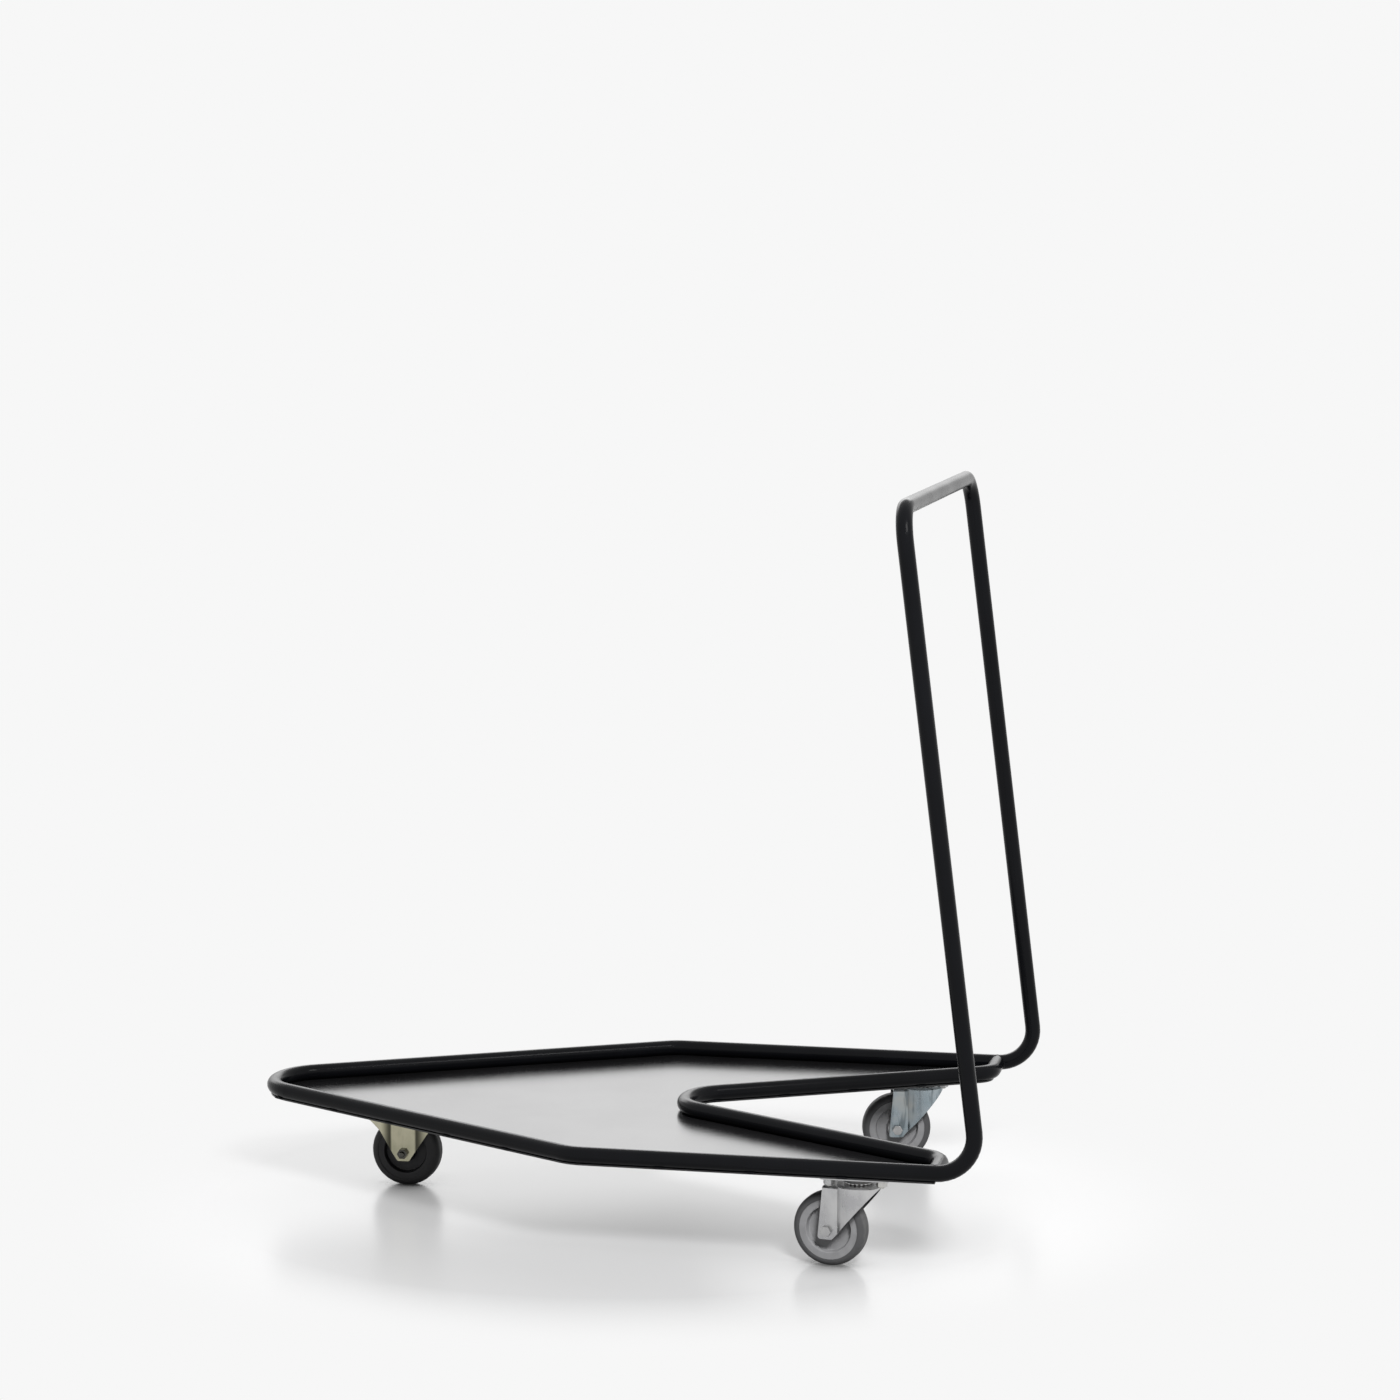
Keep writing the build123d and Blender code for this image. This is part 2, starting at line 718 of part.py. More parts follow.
def make_axle_nut(castor, head_side):
    """Nut on the bolt's other end."""
    plane = castor.axle_plane(-head_side * castor.half_width, -head_side)
    return hex_nut(plane, AXLE_HEAD_ACROSS, AXLE_NUT_HEIGHT, axle_radius + THREAD_FIT)


def save_wheel(name, castor, head_side):
    """Make and write a castor's wheel with its axle."""
    save(make_axle_bolt(castor, head_side), f"{name}_axle_bolt")
    save(make_axle_nut(castor, head_side), f"{name}_axle_nut")
    save(make_axle_sleeve(castor), f"{name}_axle_sleeve")
    save(make_wheel_bushes(castor), f"{name}_wheel_bushes")
    save(make_wheel_core(castor), f"{name}_wheel_core")
    save(make_tyre(castor), f"{name}_tyre")


# The trolley
os.makedirs("parts", exist_ok=True)

save(bent_tube(RIM_PATH, RIM_BENDS, tube_radius, TUBE_WALL), "rim_tube")
save(bent_tube(HANDLE_PATH, HANDLE_BENDS, tube_radius, TUBE_WALL), "handle_hoop")
save(make_notch_tube(), "notch_tube")
save(make_joint_sleeves(), "joint_sleeves")
save(make_tray_plate(), "tray_plate")
save(make_castor_studs(), "castor_studs")
save(make_castor_washers(), "castor_washers")
save(make_castor_nuts(), "castor_nuts")

for name, seat, castor in (("left", left_seat, LEFT), ("right", right_seat, RIGHT)):
    save(make_dished_plate(seat, castor), f"{name}_top_plate")
    save(make_king_pin(castor), f"{name}_king_pin")
    save(make_race_cup(castor), f"{name}_race_cup")
    save(make_ball_row(castor.seat, lower_race_radius, cup_top), f"{name}_lower_balls")
    save(make_ball_row(castor.seat, upper_race_radius, crown_top), f"{name}_upper_balls")
    save(make_swivel_fork(castor), f"{name}_fork")
    save_wheel(name, castor, head_side=1)

save(make_flat_plate(front_seat, FIXED_PLATE_LENGTH), "front_top_plate")
save(make_fixed_fork(FRONT), "front_fork")
save_wheel("front", FRONT, head_side=-1)
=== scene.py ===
import json
from math import cos, pi, radians, sin, tan

import bmesh
import bpy
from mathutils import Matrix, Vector


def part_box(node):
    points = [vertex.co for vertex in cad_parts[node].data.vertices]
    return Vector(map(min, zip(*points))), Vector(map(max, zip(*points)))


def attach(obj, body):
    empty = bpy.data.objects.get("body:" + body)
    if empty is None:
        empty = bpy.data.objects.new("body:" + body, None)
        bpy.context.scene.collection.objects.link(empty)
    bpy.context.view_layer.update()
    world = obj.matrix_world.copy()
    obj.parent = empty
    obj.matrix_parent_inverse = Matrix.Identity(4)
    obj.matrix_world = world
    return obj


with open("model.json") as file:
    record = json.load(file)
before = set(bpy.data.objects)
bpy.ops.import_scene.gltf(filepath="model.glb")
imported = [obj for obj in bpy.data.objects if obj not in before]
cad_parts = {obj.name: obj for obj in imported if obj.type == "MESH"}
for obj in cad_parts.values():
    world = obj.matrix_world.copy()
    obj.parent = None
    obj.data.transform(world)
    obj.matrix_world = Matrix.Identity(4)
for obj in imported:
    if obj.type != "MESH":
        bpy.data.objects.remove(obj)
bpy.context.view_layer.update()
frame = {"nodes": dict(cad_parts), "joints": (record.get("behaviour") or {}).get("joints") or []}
nodes = frame["nodes"]
joints = {joint["name"]: joint for joint in frame["joints"]}

# Camera: where the photograph was taken from, with lengths in metres and the lens in millimetres
VIEW_AZIMUTH = radians(101.83)
VIEW_PITCH = radians(7.15)
VIEW_DISTANCE = 4.939
VIEW_CENTRE = Vector((0, 0.0959, 0))
VIEW_HEIGHT = 1.3306
VIEW_LENS = 92.2

# Studio: how bright its parts are when seen, when mirrored and as soft light
BACKDROP = 0.93
PANEL_LOW = 1.2
PANEL_HIGH = 4.2
AMBIENT = 0.14

# Studio: the place of the lit panel, as spans of a unit direction over which it brightens or ends
PANEL_LEFT = 0.12
PANEL_RISE = (0.1, 0.42)
PANEL_TOP = (0.44, 0.62)
PANEL_SIDES = (0.36, 0.6)
PANEL_FACING = (0.1, 0.4)
FAR_SIDE = (-sin(VIEW_AZIMUTH), cos(VIEW_AZIMUTH), 0)
RIGHT_SIDE = (cos(VIEW_AZIMUTH), sin(VIEW_AZIMUTH), 0)

# Floor: its colour, how it fades into the backdrop, and painted light and shade near the object: a glow
# that lifts the floor's shadows, less where the floor is covered, and colour darkened where things touch
# it
FLOOR_COLOUR = (0.44, 0.44, 0.444)
FLOOR_ROUGHNESS = 0.25
FLOOR_GLOSS = 0.4
FLOOR_BOUNCE = 0.25
FLOOR_RADIUS = 14.0
FLOOR_SIDES = 96
FADE_WIDTH = 0.85
FADE_DEPTH = 0.72
FADE_START = 0.45
FADE_LEAST = 0.35
FADE_OPEN = 0.42
SHADE_REACH = 0.2
SHADE_SAMPLES = 8
CONTACT_REACH = 0.11
CONTACT_SHADE = 0.05
CONTACT_AIR = (0.3, 0.9)

# Nose and notch of the frame: half of their angle, bend radius at the nose and length of the cross ends
HALF_ANGLE = radians(29)
NOSE_RADIUS = 0.072
CROSS_LENGTH = 0.07

# Weld beads
BEAD_RADIUS = 0.0017
BEAD_STEP = 0.0008
BEAD_RIPPLE = 0.0026
RIPPLE_DEPTH = 0.14
BEAD_OUT = 0.3
BEAD_UP = 0.2
BEAD_SIDES = 10
END_SHARE = 0.25
SADDLE_SHARE = 0.3
STITCH_LENGTH = 0.016
STITCH_SPACING = 0.105
STITCH_CLEAR = 0.06

# Colours of dust and stains, and of the lighter edges: partly bare worn metal, partly painted highlight
DUST = (0.03, 0.03, 0.029)
THREAD_STAIN = (0.3, 0.29, 0.26)
STEEL_STAIN = (0.24, 0.23, 0.21)
STEEL_EDGE_WEAR_AND_HIGHLIGHT = (0.75, 0.75, 0.74)
EDGE_WEAR_AND_HIGHLIGHT = (0.7, 0.7, 0.69)

# Rounded edges of pressed and turned metal, and painted shade in the creases beside a pressed panel
EDGE_ROUND = 0.0005
EDGE_SAMPLES = 6
CREASE_START = 0.0002
CREASE_DARKEST = 0.0011
CREASE_END = 0.0055
CREASE_PAINTED_SHADE = 0.95


# Materials: a recipe adds nodes to one node tree by short calls
def shaded(colour, share):
    """A colour times a share."""
    return tuple(share * part for part in colour)


class Recipe:
    """The nodes of a material or a world in the making."""

    def __init__(self, owner):
        owner.use_nodes = True
        self.owner = owner
        self.tree = owner.node_tree

    def add(self, kind, inputs=None, **settings):
        """A node of a kind, with its settings made and its inputs set or joined."""
        node = self.tree.nodes.new(kind)
        for name, value in settings.items():
            setattr(node, name, value)
        self.fill(node, inputs or {})
        return node

    def fill(self, node, inputs):
        """Set each input to a constant, or join it to another node's output."""
        for key, value in inputs.items():
            if isinstance(value, bpy.types.NodeSocket):
                self.tree.links.new(value, node.inputs[key])
            else:
                node.inputs[key].default_value = value

    def noise(self, per_metre, detail=3.0, stretch=(1, 1, 1), where=None):
        """Cloudy value around 0.5, with so many spots per metre, drawn out along the axes."""
        scale = [per_metre / factor for factor in stretch]
        mapped = self.add("ShaderNodeMapping", {"Vector": where or self.place, "Scale": scale})
        inputs = {"Vector": mapped.outputs[0], "Scale": 1.0, "Detail": detail}
        return self.add("ShaderNodeTexNoise", inputs).outputs[0]

    def span(self, value, low, high, start=0.3, end=0.7):
        """The value's range from start to end, laid onto low to high."""
        limits = {"Value": value, "From Min": start, "From Max": end, "To Min": low, "To Max": high}
        return self.add("ShaderNodeMapRange", limits, interpolation_type="SMOOTHSTEP").outputs[0]

    def sum(self, first, second, operation="ADD"):
        """Two values added, or joined by another operation."""
        return self.add("ShaderNodeMath", {0: first, 1: second}, operation=operation).outputs[0]

    def size(self, value):
        """A value without its sign."""
        return self.add("ShaderNodeMath", {0: value}, operation="ABSOLUTE").outputs[0]

    def product(self, *values):
        """Values multiplied together."""
        result = values[0]
        for value in values[1:]:
            result = self.sum(result, value, "MULTIPLY")
        return result

    def ramp(self, value, *stops):
        """Colours along a value, from stops of (place, colour)."""
        ramp = self.add("ShaderNodeValToRGB", {"Fac": value})
        bands = ramp.color_ramp.elements
        while len(bands) < len(stops):
            bands.new(1.0)
        for band, (place, colour) in zip(bands, stops):
            band.position = place
            band.color = (*colour, 1)
        return ramp.outputs[0]

    def mottle(self, value, colour, darkest, lightest):
        """A colour that runs from a darkest to a lightest share of itself along a cloudy value."""
        dark = shaded(colour, darkest)
        light = shaded(colour, lightest)
        return self.ramp(value, (0.3, dark), (0.7, light))

    def mix(self, amount, first, second):
        """A first colour, from another node or as numbers, mixed with a second one by an amount."""
        if isinstance(first, tuple):
            first = (*first, 1)
        inputs = {0: amount, 6: first, 7: (*second, 1)}
        return self.add("ShaderNodeMix", inputs, data_type="RGBA").outputs[2]

    def along(self, vector, direction):
        """How far a vector reaches along a direction."""
        inputs = {0: vector, 1: direction}
        return self.add("ShaderNodeVectorMath", inputs, operation="DOT_PRODUCT").outputs["Value"]

    def length(self, vector):
        """Length of a vector."""
        return self.add("ShaderNodeVectorMath", {0: vector}, operation="LENGTH").outputs["Value"]

    def choose(self, amount, first, second):
        """The first number where the amount is 0, the second where it is 1."""
        return self.add("ShaderNodeMix", {0: amount, 2: first, 3: second}).outputs[0]

    def bump(self, height, depth, under=None):
        """Normals of a height from 0 to 1 over a depth in metres, on top of other normals."""
        inputs = {"Height": height, "Distance": depth}
        if under:
            inputs["Normal"] = under
        return self.add("ShaderNodeBump", inputs).outputs[0]


class Surface(Recipe):
    """A material with its principled shader and the object's own coordinates in metres."""

    def __init__(self, name):
        super().__init__(bpy.data.materials.new(name))
        self.shader = self.tree.nodes["Principled BSDF"]
        self.place = self.add("ShaderNodeTexCoord").outputs["Object"]
        self.normal = self.add("ShaderNodeNewGeometry").outputs["Normal"]

    def shade(self, inputs):
        """Set or join inputs of the principled shader, and give the finished material."""
        self.fill(self.shader, inputs)
        return self.owner

    def facing_up(self):
        """1 on faces that look up, 0 on upright ones."""
        upright = self.add("ShaderNodeSeparateXYZ", {0: self.normal}).outputs[2]
        return self.span(upright, 0, 1, start=0.55, end=1.0)

    def free_air(self, reach):
        """1 where nothing is near within a reach, 0 where all is covered."""
        shade = self.add("ShaderNodeAmbientOcclusion", {"Distance": reach}, samples=SHADE_SAMPLES)
        return shade.outputs["AO"]

    def rounded_edges(self):
        """Normals that turn over the edges, and how near a place is to one, from 0 to 1."""
        rounded = self.add("ShaderNodeBevel", {"Radius": EDGE_ROUND}, samples=EDGE_SAMPLES).outputs[0]
        alike = self.along(rounded, self.normal)
        return rounded, self.span(alike, 1, 0, start=0.75, end=0.99)


def dress(material, *names):
    """Give CAD nodes their material."""
    for name in names:
        nodes[name].data.materials.clear()
        nodes[name].data.materials.append(material)


def black_paint(name, black, cloud_size, rough_low, rough_high, gloss):
    """Satin black powder coat: fine orange peel, faint clouds in the gloss and a trace of dust."""
    recipe = Surface(name)
    peel = recipe.noise(per_metre=420, detail=2.0)
    grain = recipe.noise(per_metre=2600, detail=2.0)
    clouds = recipe.noise(per_metre=1 / cloud_size, detail=5.0)
    specks = recipe.span(recipe.noise(per_metre=900, detail=1.0), 0, 0.2, start=0.66, end=0.78)
    paint = recipe.mottle(clouds, black, darkest=0.75, lightest=1.25)
    dust = recipe.product(recipe.facing_up(), specks)
    return recipe.shade({
        "Base Color": recipe.mix(dust, paint, DUST),
        "Roughness": recipe.span(clouds, rough_low, rough_high),
        "Specular IOR Level": gloss,
        "Normal": recipe.bump(grain, depth=0.0000015, under=recipe.bump(peel, depth=0.000006)),
    })


def zinc_plate(name, tones, roughness, streaks=0.0, panel_face=None):
    """Zinc plate: cloudy tints, rolling lines, dull spots, runs of darker passivation, and edges
    lightened as wear and as painted highlight.

    Beside a pressed panel, whose face is so far from the trolley's middle plane, the creases get painted
    shade: a darker colour.
    """
    recipe = Surface(name)
    rounded, edge = recipe.rounded_edges()
    clouds = recipe.noise(per_metre=24, detail=3.0)
    lines = recipe.noise(per_metre=800, detail=2.0, stretch=(1, 1, 16))
    spots = recipe.span(recipe.noise(per_metre=300, detail=1.0), 0, 0.2, start=0.7, end=0.78)
    runs = recipe.noise(per_metre=130, detail=2.0, stretch=(1, 1, 6))
    stain = recipe.span(runs, 0, streaks, start=0.5, end=0.68)
    dark, middle, light = tones
    tint = recipe.ramp(clouds, (0.34, dark), (0.5, middle), (0.66, light))
    stained = recipe.mix(stain, tint, shaded(dark, 0.4))
    layered_colour = recipe.mix(spots, stained, shaded(dark, 0.5))
    if panel_face:
        width = recipe.size(recipe.add("ShaderNodeSeparateXYZ", {0: recipe.place}).outputs[0])
        depth = recipe.sum(panel_face, width, "SUBTRACT")
        # Painted shade: the colour darkens in the creases just behind the panel's face, and fades out
        # over the flank
        painted_crease_shade = recipe.product(
            recipe.span(depth, 0, CREASE_PAINTED_SHADE, start=CREASE_START, end=CREASE_DARKEST),
            recipe.span(depth, 1, 0, start=CREASE_DARKEST, end=CREASE_END),
        )
        layered_colour = recipe.mix(painted_crease_shade, layered_colour, shaded(dark, 0.12))
    cloudy = recipe.span(clouds, roughness, roughness + 0.07)
    return recipe.shade({
        # Edges are lightened in colour: partly wear, partly a painted highlight
        "Base Color": recipe.mix(recipe.product(edge, 0.6), layered_colour, EDGE_WEAR_AND_HIGHLIGHT),
        "Metallic": 1.0,
        "Roughness": recipe.sum(cloudy, recipe.span(lines, -0.01, 0.02)),
        "Normal": recipe.bump(lines, depth=0.0000008, under=rounded),
    })


def threaded(name, colour, half_pitch):
    """Zinc-plated thread on an upright stud."""
    recipe = Surface(name)
    height = recipe.add("ShaderNodeSeparateXYZ", {0: recipe.place}).outputs[2]
    turns = recipe.add("ShaderNodeMath", {0: height, 1: half_pitch}, operation="PINGPONG").outputs[0]
    depth = recipe.sum(turns, half_pitch, "DIVIDE")
    stains = recipe.noise(per_metre=300, detail=3.0)
    return recipe.shade({
        "Base Color": recipe.mix(recipe.span(stains, 0, 0.4), colour, THREAD_STAIN),
        "Metallic": 1.0,
        "Roughness": recipe.span(stains, 0.26, 0.4),
        "Normal": recipe.bump(depth, half_pitch / 2),
    })


def plain_steel(name, colour, roughness):
    """Drawn or ground steel of the inner pieces, with fine turned lines."""
    recipe = Surface(name)
    rounded, edge = recipe.rounded_edges()
    lines = recipe.noise(per_metre=1500, detail=2.0, stretch=(1, 1, 0.2))
    stains = recipe.noise(per_metre=120, detail=4.0)
    shade = recipe.mix(recipe.span(stains, 0, 0.5), colour, STEEL_STAIN)
    return recipe.shade({
        # Edges are lightened in colour: partly wear, partly a painted highlight
        "Base Color": recipe.mix(recipe.product(edge, 0.4), shade, STEEL_EDGE_WEAR_AND_HIGHLIGHT),
        "Metallic": 1.0,
        "Roughness": recipe.span(stains, roughness, roughness + 0.12),
        "Normal": recipe.bump(lines, depth=0.000003, under=rounded),
    })


def wheel_places(recipe, joint_name):
    """Distance from the axle and place along it, on a wheel that turns about a joint."""
    joint = joints[joint_name]
    ends = {0: recipe.place, 1: joint["pos_m"]}
    from_axle = recipe.add("ShaderNodeVectorMath", ends, operation="SUBTRACT").outputs[0]
    along = recipe.along(from_axle, joint["axis"])
    reach = recipe.length(from_axle)
    squares = [recipe.product(side, side) for side in (reach, along)]
    return recipe.sum(recipe.sum(*squares, "SUBTRACT"), 0.5, "POWER"), along


def moulded(name, joint_name, colour, scuff, roughness):
    """Moulded wheel rubber or plastic: fine grain, faint turned rings and pale scuffs on the tread."""
    recipe = Surface(name)
    radius, along = wheel_places(recipe, joint_name)
    grain = recipe.noise(per_metre=1700, detail=2.0)
    clouds = recipe.noise(per_metre=70, detail=4.0)
    rounds = recipe.add("ShaderNodeCombineXYZ", {0: radius, 1: along})
    rings = recipe.noise(per_metre=1400, detail=2.0, where=rounds.outputs[0])
    tread = recipe.span(radius, 0, 1, start=TREAD_START, end=TREAD_END)
    worn = recipe.product(tread, recipe.span(recipe.noise(per_metre=160, detail=5.0), 0.15, 0.85))
    clouded = recipe.mottle(clouds, colour, darkest=0.9, lightest=1.08)
    cloudy = recipe.span(clouds, roughness, roughness + 0.1)
    return recipe.shade({
        "Base Color": recipe.mix(worn, clouded, scuff),
        "Roughness": recipe.sum(cloudy, recipe.span(rings, -0.05, 0.05)),
        "Specular IOR Level": 0.35,
        "Normal": recipe.bump(grain, depth=0.00002, under=recipe.bump(rings, depth=0.000012)),
    })


def nylon(name):
    """Natural white nylon of the bushes, slightly waxy."""
    recipe = Surface(name)
    clouds = recipe.noise(per_metre=200, detail=3.0)
    return recipe.shade({
        "Base Color": recipe.ramp(clouds, (0.3, (0.62, 0.6, 0.54)), (0.7, (0.72, 0.71, 0.66))),
        "Roughness": recipe.span(clouds, 0.38, 0.5),
        "Normal": recipe.bump(recipe.noise(per_metre=1200), 0.00001),
    })


# Dress the frame
FRAME_BLACK = (0.0024, 0.0026, 0.0034)
TRAY_BLACK = (0.01, 0.01, 0.0106)
RAW_STEEL = (0.5, 0.49, 0.48)
FASTENER_TONES = ((0.38, 0.385, 0.39), (0.46, 0.46, 0.46), (0.54, 0.53, 0.51))
STUD_ZINC = (0.62, 0.62, 0.6)
STUD_HALF_PITCH = 0.000625
frame_black = black_paint(
    "frame_black_paint", FRAME_BLACK, cloud_size=0.09, rough_low=0.2, rough_high=0.26, gloss=0.11,
)
tray_black = black_paint(
    "tray_black_paint", TRAY_BLACK, cloud_size=0.22, rough_low=0.19, rough_high=0.24, gloss=0.5,
)
raw_steel = plain_steel("raw_steel", RAW_STEEL, roughness=0.34)
fastener_zinc = zinc_plate("fastener_zinc", FASTENER_TONES, roughness=0.24)
stud_zinc = threaded("stud_zinc", STUD_ZINC, STUD_HALF_PITCH)
dress(frame_black, "rim_tube", "handle_hoop", "notch_tube")
dress(tray_black, "tray_plate")
dress(raw_steel, "joint_sleeves", "front_axle_sleeve")
dress(fastener_zinc, "castor_washers", "castor_nuts")
dress(stud_zinc, "castor_studs")

# Wheel tread, as shares of the wheel's radius
wheel_low, wheel_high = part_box("front_tyre")
WHEEL_RADIUS = (wheel_high.z - wheel_low.z) / 2
TREAD_START = 0.95 * WHEEL_RADIUS
TREAD_END = 0.992 * WHEEL_RADIUS

# Dress the swivel castors
BALL_STEEL = (0.74, 0.74, 0.74)
PLATE_TONES = ((0.38, 0.385, 0.39), (0.45, 0.45, 0.46), (0.52, 0.52, 0.51))
AXLE_TONES = ((0.36, 0.36, 0.37), (0.44, 0.44, 0.44), (0.52, 0.52, 0.51))
LEFT_TONES = ((0.4, 0.4, 0.41), (0.47, 0.47, 0.475), (0.54, 0.54, 0.54))
RIGHT_TONES = ((0.27, 0.33, 0.36), (0.34, 0.39, 0.42), (0.42, 0.44, 0.43))
CORE_GREY = (0.21, 0.21, 0.215)
TYRE_GREY = (0.062, 0.062, 0.064)
SCUFF_GREY = (0.105, 0.105, 0.105)
plate_zinc = zinc_plate("plate_zinc", PLATE_TONES, roughness=0.3)
axle_zinc = zinc_plate("axle_zinc", AXLE_TONES, roughness=0.2)
ball_steel = plain_steel("ball_steel", BALL_STEEL, roughness=0.1)
bush_nylon = nylon("bush_nylon")
dress(zinc_plate("left_fork_zinc", LEFT_TONES, roughness=0.24, streaks=0.07), "left_fork")
dress(zinc_plate("right_fork_zinc", RIGHT_TONES, roughness=0.24, streaks=0.7), "right_fork")
for side in ("left", "right"):
    spin = f"{side}_wheel_spin"
    dress(plate_zinc, f"{side}_top_plate")
    dress(raw_steel, f"{side}_king_pin", f"{side}_race_cup", f"{side}_axle_sleeve")
    dress(ball_steel, f"{side}_upper_balls", f"{side}_lower_balls")
    dress(axle_zinc, f"{side}_axle_bolt", f"{side}_axle_nut")
    dress(moulded(f"{side}_core_grey", spin, CORE_GREY, CORE_GREY, roughness=0.5), f"{side}_wheel_core")
    dress(moulded(f"{side}_tyre_grey", spin, TYRE_GREY, SCUFF_GREY, roughness=0.58), f"{side}_tyre")
    dress(bush_nylon, f"{side}_wheel_bushes")

# Dress the fixed castor
YELLOW_TONES = ((0.36, 0.35, 0.25), (0.43, 0.41, 0.3), (0.5, 0.48, 0.37))
DARK_TONES = ((0.05, 0.05, 0.045), (0.09, 0.088, 0.08), (0.17, 0.165, 0.15))
CORE_BLACK = (0.013, 0.013, 0.0145)
TYRE_BLACK = (0.018, 0.018, 0.019)
SCUFF_BLACK = (0.03, 0.03, 0.029)
FORK_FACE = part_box("front_fork")[1].x
fork_yellow = zinc_plate("yellow_zinc", YELLOW_TONES, roughness=0.12, streaks=0.2, panel_face=FORK_FACE)
plate_yellow = zinc_plate("yellow_plate_zinc", YELLOW_TONES, roughness=0.12, streaks=0.2)
dark_zinc = zinc_plate("dark_zinc", DARK_TONES, roughness=0.13)
dress(fork_yellow, "front_fork")
dress(plate_yellow, "front_top_plate")
dress(dark_zinc, "front_axle_bolt", "front_axle_nut")
core_black = moulded("front_core_black", "front_wheel_spin", CORE_BLACK, CORE_BLACK, roughness=0.46)
tyre_black = moulded("front_tyre_black", "front_wheel_spin", TYRE_BLACK, SCUFF_BLACK, roughness=0.5)
dress(core_black, "front_wheel_core")
dress(tyre_black, "front_tyre")
dress(bush_nylon, "front_wheel_bushes")

# Frame sizes that the weld beads follow, measured on the CAD nodes
rim_low, rim_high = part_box("rim_tube")
notch_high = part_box("notch_tube")[1]
tray_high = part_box("tray_plate")[1]
TUBE_RADIUS = (rim_high.z - rim_low.z) / 2
RIM_Z = rim_low.z + TUBE_RADIUS
RAIL_X = rim_high.x - TUBE_RADIUS
NOSE_Y = rim_low.y + TUBE_RADIUS - NOSE_RADIUS * (1 / sin(HALF_ANGLE) - 1)
SHOULDER_Y = NOSE_Y + RAIL_X / tan(HALF_ANGLE)
CROSS_X = RAIL_X - CROSS_LENGTH
CROSS_Y = notch_high.y - TUBE_RADIUS
NOTCH_Y = CROSS_Y - CROSS_X / tan(HALF_ANGLE)
TRAY_TOP = tray_high.z
TRAY_MARGIN = tray_high.x - RAIL_X


# Weld beads, painted over with the frame
def lay_bead(shape, path, radii):
    """Add a rippled bead with closed ends to a mesh, along points with a radius at each."""
    rings = []
    travelled = 0.0
    for index, (point, radius) in enumerate(zip(path, radii)):
        before = path[max(index - 1, 0)]
        after = path[min(index + 1, len(path) - 1)]
        travelled += (point - before).length
        turn = Vector((1, 0, 0)).rotation_difference(after - before).to_matrix()
        ripple = 1 - RIPPLE_DEPTH + RIPPLE_DEPTH * abs(cos(pi * travelled / BEAD_RIPPLE))
        ring = []
        for side in range(BEAD_SIDES):
            angle = 2 * pi * side / BEAD_SIDES
            outward = turn @ Vector((0, cos(angle), sin(angle)))
            ring.append(shape.verts.new(point + outward * radius * ripple))
        rings.append(ring)
    for ring, following in zip(rings, rings[1:]):
        for side in range(BEAD_SIDES):
            other = (side + 1) % BEAD_SIDES
            shape.faces.new((ring[side], ring[other], following[other], following[side]))
    shape.faces.new(rings[0][::-1])
    shape.faces.new(rings[-1])


def weld_piece(name, beads):
    """One piece made of several beads (path, radii), which rides on the frame in its paint."""
    shape = bmesh.new()
    for path, radii in beads:
        lay_bead(shape, path, radii)
    bmesh.ops.recalc_face_normals(shape, faces=shape.faces)
    for face in shape.faces:
        face.smooth = True
    mesh = bpy.data.meshes.new(name)
    shape.to_mesh(mesh)
    shape.free()
    mesh.materials.append(frame_black)
    piece = bpy.data.objects.new(name, mesh)
    bpy.context.scene.collection.objects.link(piece)
    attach(piece, "frame")


def stitches(start, end, outward):
    """Short beads along a straight tube run, in the corner between the tube and the tray's edge."""
    run = end - start
    way = run.normalized()
    clear = run.length - 2 * STITCH_CLEAR
    count = max(1, round(clear / STITCH_SPACING))
    corner = outward * (TRAY_MARGIN + BEAD_OUT * BEAD_RADIUS)
    corner.z = TRAY_TOP + BEAD_UP * BEAD_RADIUS - RIM_Z
    steps = round(STITCH_LENGTH / BEAD_STEP)
    fullness = [END_SHARE + (1 - END_SHARE) * sin(pi * step / steps) ** 0.5 for step in range(steps + 1)]
    radii = [BEAD_RADIUS * share for share in fullness]
    beads = []
    for number in range(count):
        middle = start + way * (STITCH_CLEAR + clear * (number + 0.5) / count) + corner
        path = [middle + way * STITCH_LENGTH * (step / steps - 0.5) for step in range(steps + 1)]
        beads.append((path, radii))
    return beads


def saddle(side):
    """Bead around the end of the notch tube, where it sits against a rail."""
    steps = round(2 * pi * TUBE_RADIUS / BEAD_STEP)
    path = []
    radii = []
    for step in range(steps + 1):
        angle = 2 * pi * step / steps
        inset = TUBE_RADIUS * abs(cos(angle))
        path.append(Vector((
            side * (RAIL_X - inset),
            CROSS_Y + TUBE_RADIUS * cos(angle),
            RIM_Z + TUBE_RADIUS * sin(angle),
        )))
        radii.append(BEAD_RADIUS * (SADDLE_SHARE + (1 - SADDLE_SHARE) * abs(cos(angle))))
    return path, radii


def make_welds():
    """Stitches between tray and tubes, and beads around the notch tube's ends."""
    beads = [saddle(1), saddle(-1)]
    for side in (-1, 1):
        shoulder = Vector((side * RAIL_X, SHOULDER_Y, RIM_Z))
        nose = Vector((0, NOSE_Y, RIM_Z))
        rear = Vector((side * RAIL_X, CROSS_Y, RIM_Z))
        cross = Vector((side * CROSS_X, CROSS_Y, RIM_Z))
        notch = Vector((0, NOTCH_Y, RIM_Z))
        slant = Vector((side * (shoulder - nose).y, -abs((shoulder - nose).x), 0)).normalized()
        inward = Vector((-side * (cross - notch).y, abs((cross - notch).x), 0)).normalized()
        beads += stitches(shoulder, rear, Vector((side, 0, 0)))
        beads += stitches(nose, shoulder, slant)
        beads += stitches(notch, cross, inward)
    weld_piece("frame_welds", beads)


make_welds()


